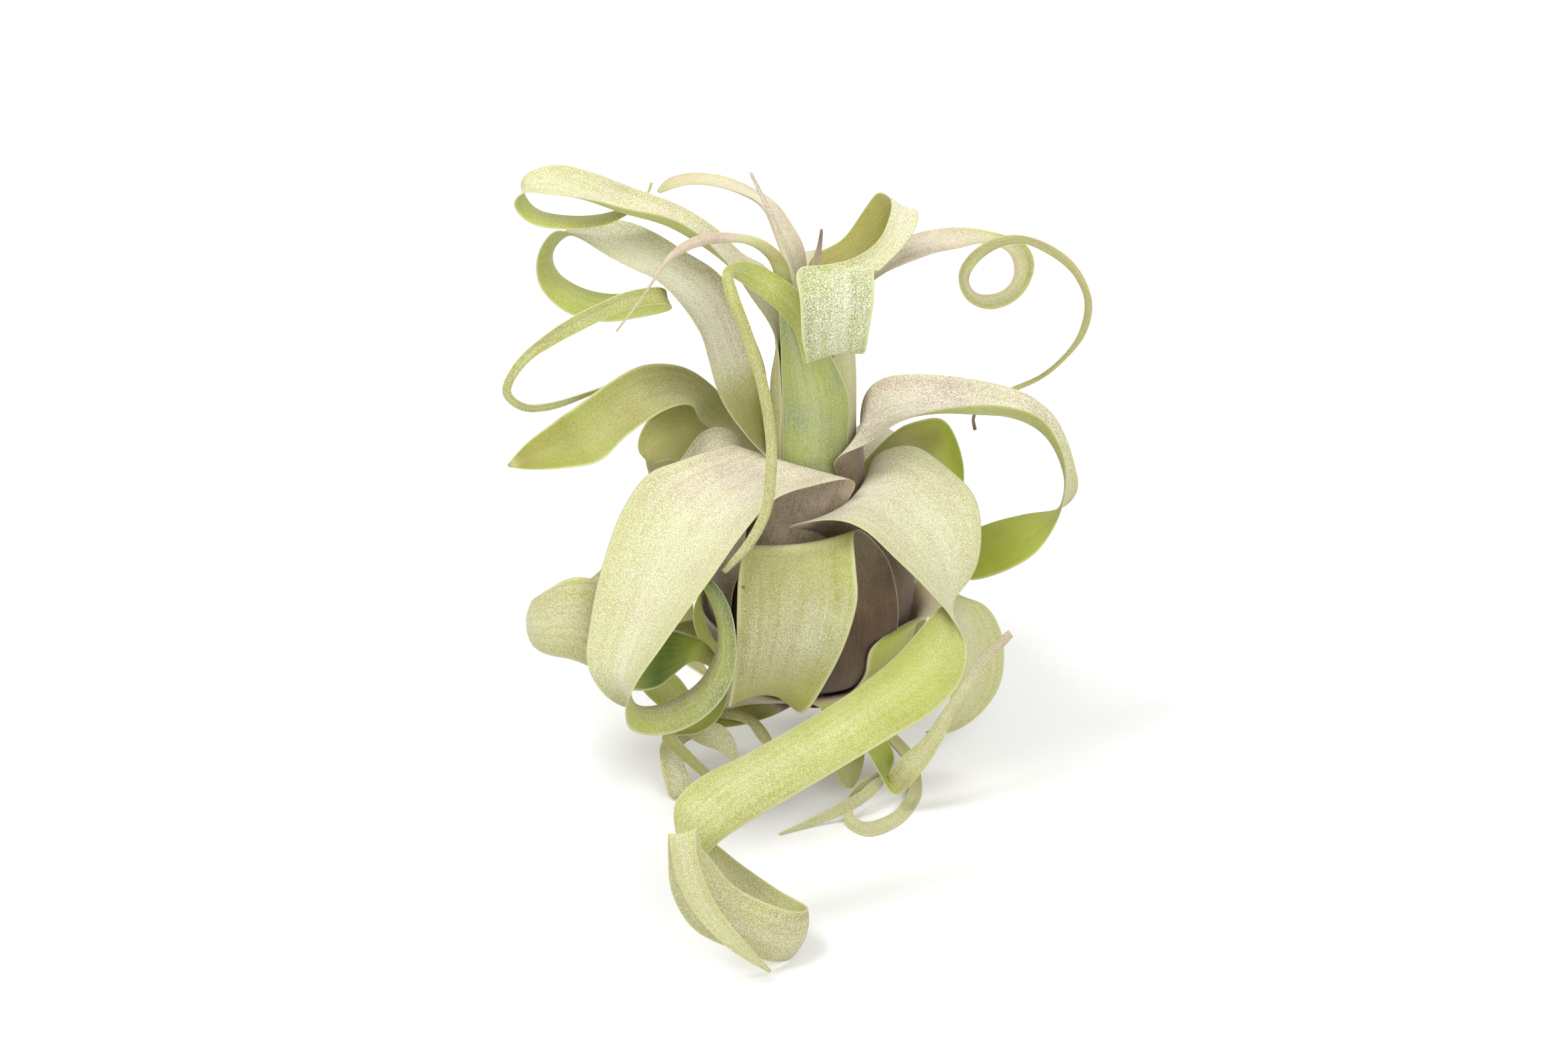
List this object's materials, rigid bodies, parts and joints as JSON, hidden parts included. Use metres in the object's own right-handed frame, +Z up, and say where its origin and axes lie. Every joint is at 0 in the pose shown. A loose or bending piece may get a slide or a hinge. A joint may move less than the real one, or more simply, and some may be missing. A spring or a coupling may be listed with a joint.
{
  "type": "air plant",
  "caption": "Free-standing air plant: a bulb of nested leaf sheaths with broad silvery leaves that arch out, roll and curl.",
  "frame": {"origin": "on the floor under the middle of the plant's box", "axes": "+Z up along the bulb, -Y towards the long front leaf's curl"},
  "size_m": [0.171, 0.205, 0.1987],
  "materials": {
    "leaf_pale": "matt, silvery scales over pale green",
    "leaf_olive": "matt, scurfy olive green",
    "leaf_green": "satin fresh green",
    "leaf_mauve": "matt, silvery mauve",
    "root": "rough, dry"
  },
  "bodies": {
    "root": {"stem": "root", "leaf_front_right": "leaf_pale", "leaf_front_left": "leaf_pale", "leaf_crown_flap": "leaf_pale", "leaf_crown_loop": "leaf_pale", "leaf_left_ring": "leaf_pale", "leaf_right_arc": "leaf_mauve", "leaf_right_ringlet": "leaf_green", "leaf_crown_arch": "leaf_mauve", "leaf_crown_spear": "leaf_mauve", "leaf_crown_thin": "leaf_mauve", "leaf_crown_bud": "leaf_green", "leaf_left_olive": "leaf_olive", "leaf_back_right": "leaf_green", "leaf_left_curl": "leaf_olive", "leaf_apron": "leaf_olive", "leaf_left_fold": "leaf_pale", "leaf_low_left": "leaf_green", "leaf_low_left_fold": "leaf_pale", "leaf_low_arch": "leaf_olive", "leaf_low_right": "leaf_olive", "leaf_low_front_right": "leaf_olive", "leaf_low_ring": "leaf_olive", "leaf_low_point": "leaf_olive", "leaf_low_curl": "leaf_pale", "leaf_low_front": "leaf_olive", "leaf_back_broad": "leaf_pale", "leaf_back_left": "leaf_pale", "leaf_back_crown": "leaf_pale", "leaf_back_mid": "leaf_pale", "leaf_back_thin": "leaf_mauve", "leaf_low_back_right": "leaf_olive", "leaf_low_back_left": "leaf_olive"}
  },
  "joints": []
}
